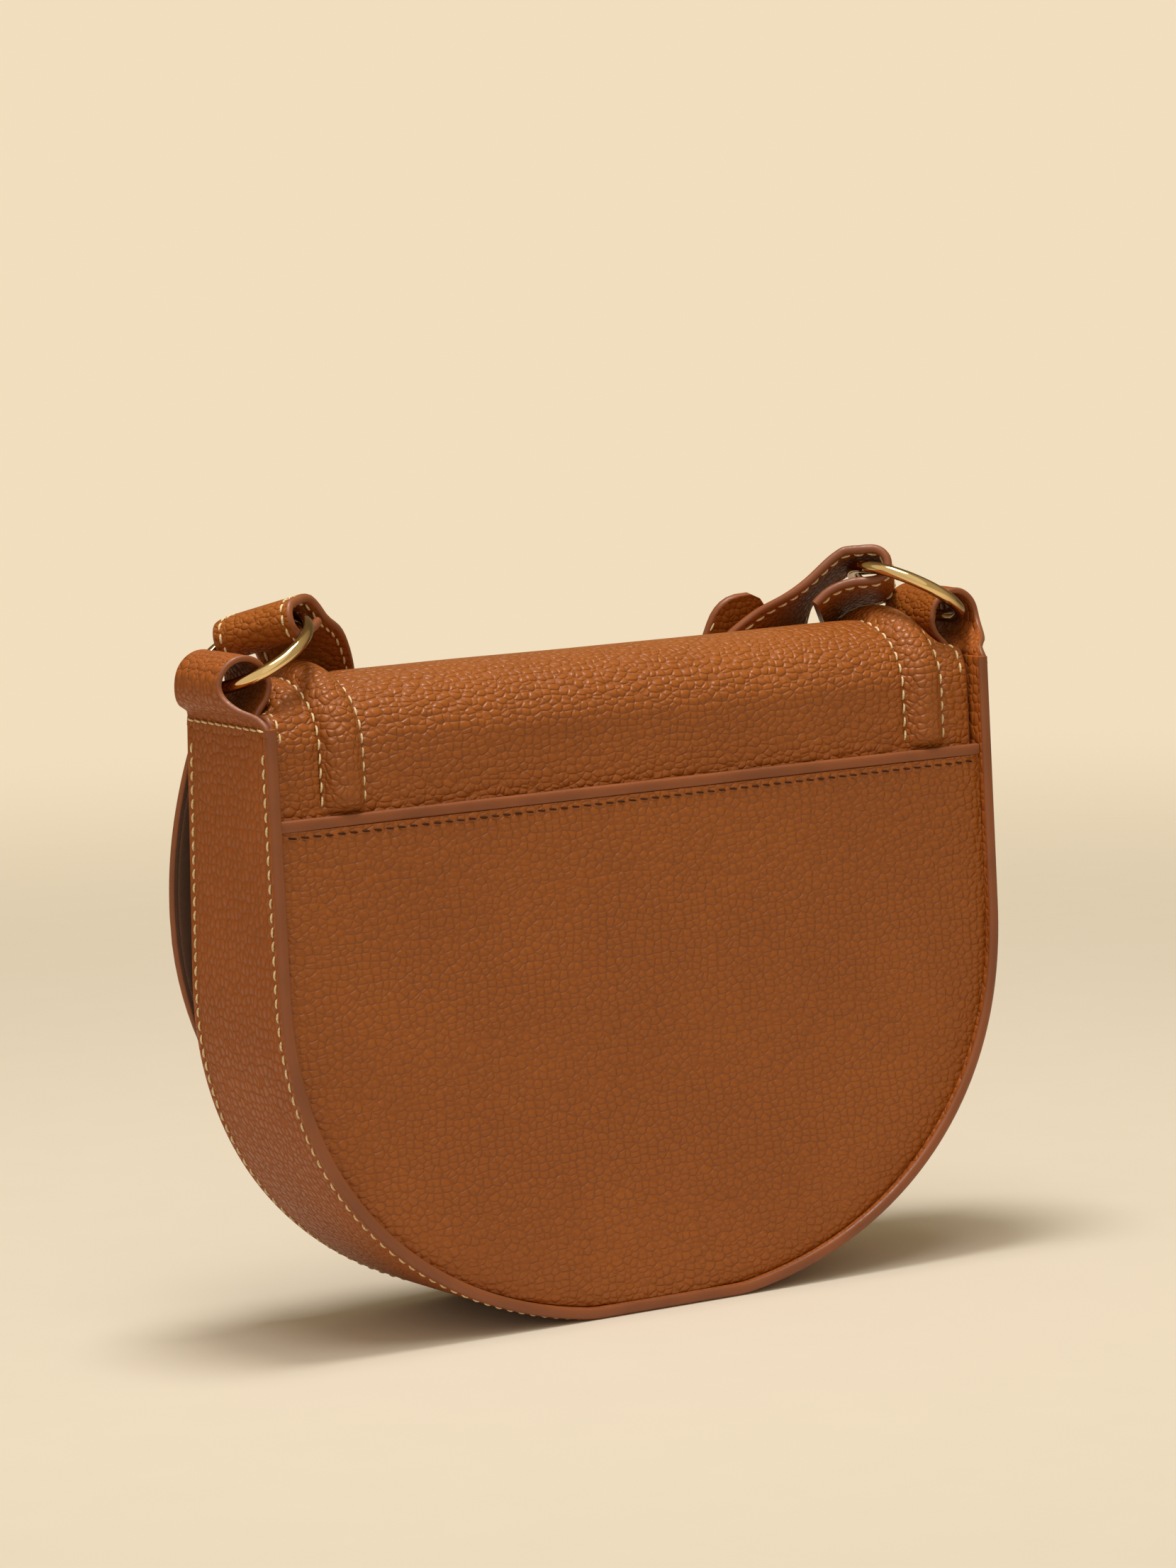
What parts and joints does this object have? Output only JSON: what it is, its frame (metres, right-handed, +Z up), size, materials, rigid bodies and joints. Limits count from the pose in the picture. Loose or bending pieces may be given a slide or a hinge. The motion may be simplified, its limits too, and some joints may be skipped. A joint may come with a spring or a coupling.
{
  "type": "half moon crossbody bag",
  "caption": "Half moon leather crossbody bag with a wraparound flap, back slip pocket, round rings in gusset loops and an adjustable buckled shoulder strap.",
  "frame": {"origin": "middle of the flat base, where the bag stands", "axes": "+Z up, +X along the bag's width towards the left ring, -Y towards the flap's front, +Y towards the back slip pocket"},
  "size_m": [0.3155, 0.3547, 0.1971],
  "materials": {
    "leather": "pebbled, satin, tan",
    "gusset_leather": "fine pebbled, satin, tan",
    "lining_twill": "brown twill",
    "binding_leather": "smooth folded edge",
    "gold_metal": "polished pale gold plating"
  },
  "bodies": {
    "bag": {"gusset": "gusset_leather", "gusset_lining": "lining_twill", "back_pocket_panel": "leather", "pocket_edge_binding": "binding_leather", "back_panel": "leather", "back_lining": "lining_twill", "front_panel": "leather", "front_lining": "lining_twill", "flap_root_leather": "leather", "flap_root_lining": "lining_twill", "snap_socket": "gold_metal", "left_ring_loop": "gusset_leather", "right_ring_loop": "gusset_leather", "left_strap_fold": "leather", "right_strap_fold": "leather", "long_strap_tip": "leather", "strap_floor_run": "leather"},
    "flap": {"flap_leather": "leather", "flap_lining": "lining_twill", "snap_stud": "gold_metal", "left_strap_front": "leather", "right_strap_front": "leather", "long_strap_front": "leather", "buckle_frame": "gold_metal"},
    "left_ring": {"left_ring": "gold_metal"},
    "right_ring": {"right_ring": "gold_metal"},
    "keeper": {"strap_keeper": "leather"},
    "prong": {"prong": "gold_metal"}
  },
  "joints": [
    {"name": "flap_open", "type": "hinge", "parent": "bag", "child": "flap", "pos_m": [0, -0.03268, 0.16634], "axis": [-1, 0, 0], "range_deg": [0, 100]},
    {"name": "left_ring_spin", "type": "hinge", "parent": "bag", "child": "left_ring", "pos_m": [0.10398, -0.00417, 0.1828], "axis": [-0.4988, -0.0349, -0.866], "continuous": true},
    {"name": "right_ring_spin", "type": "hinge", "parent": "bag", "child": "right_ring", "pos_m": [-0.10398, -0.00183, 0.1828], "axis": [-0.4988, -0.0349, 0.866], "continuous": true},
    {"name": "keeper_slide", "type": "slide", "parent": "flap", "child": "keeper", "axis": [-0.1471, 0.1287, 0.9807], "range_m": [-0.004, 0.0025]},
    {"name": "prong_lift", "type": "hinge", "parent": "flap", "child": "prong", "pos_m": [-0.05514, -0.03653, 0.11387], "axis": [-0.9891, -0.0191, -0.1459], "range_deg": [0, 4]}
  ]
}
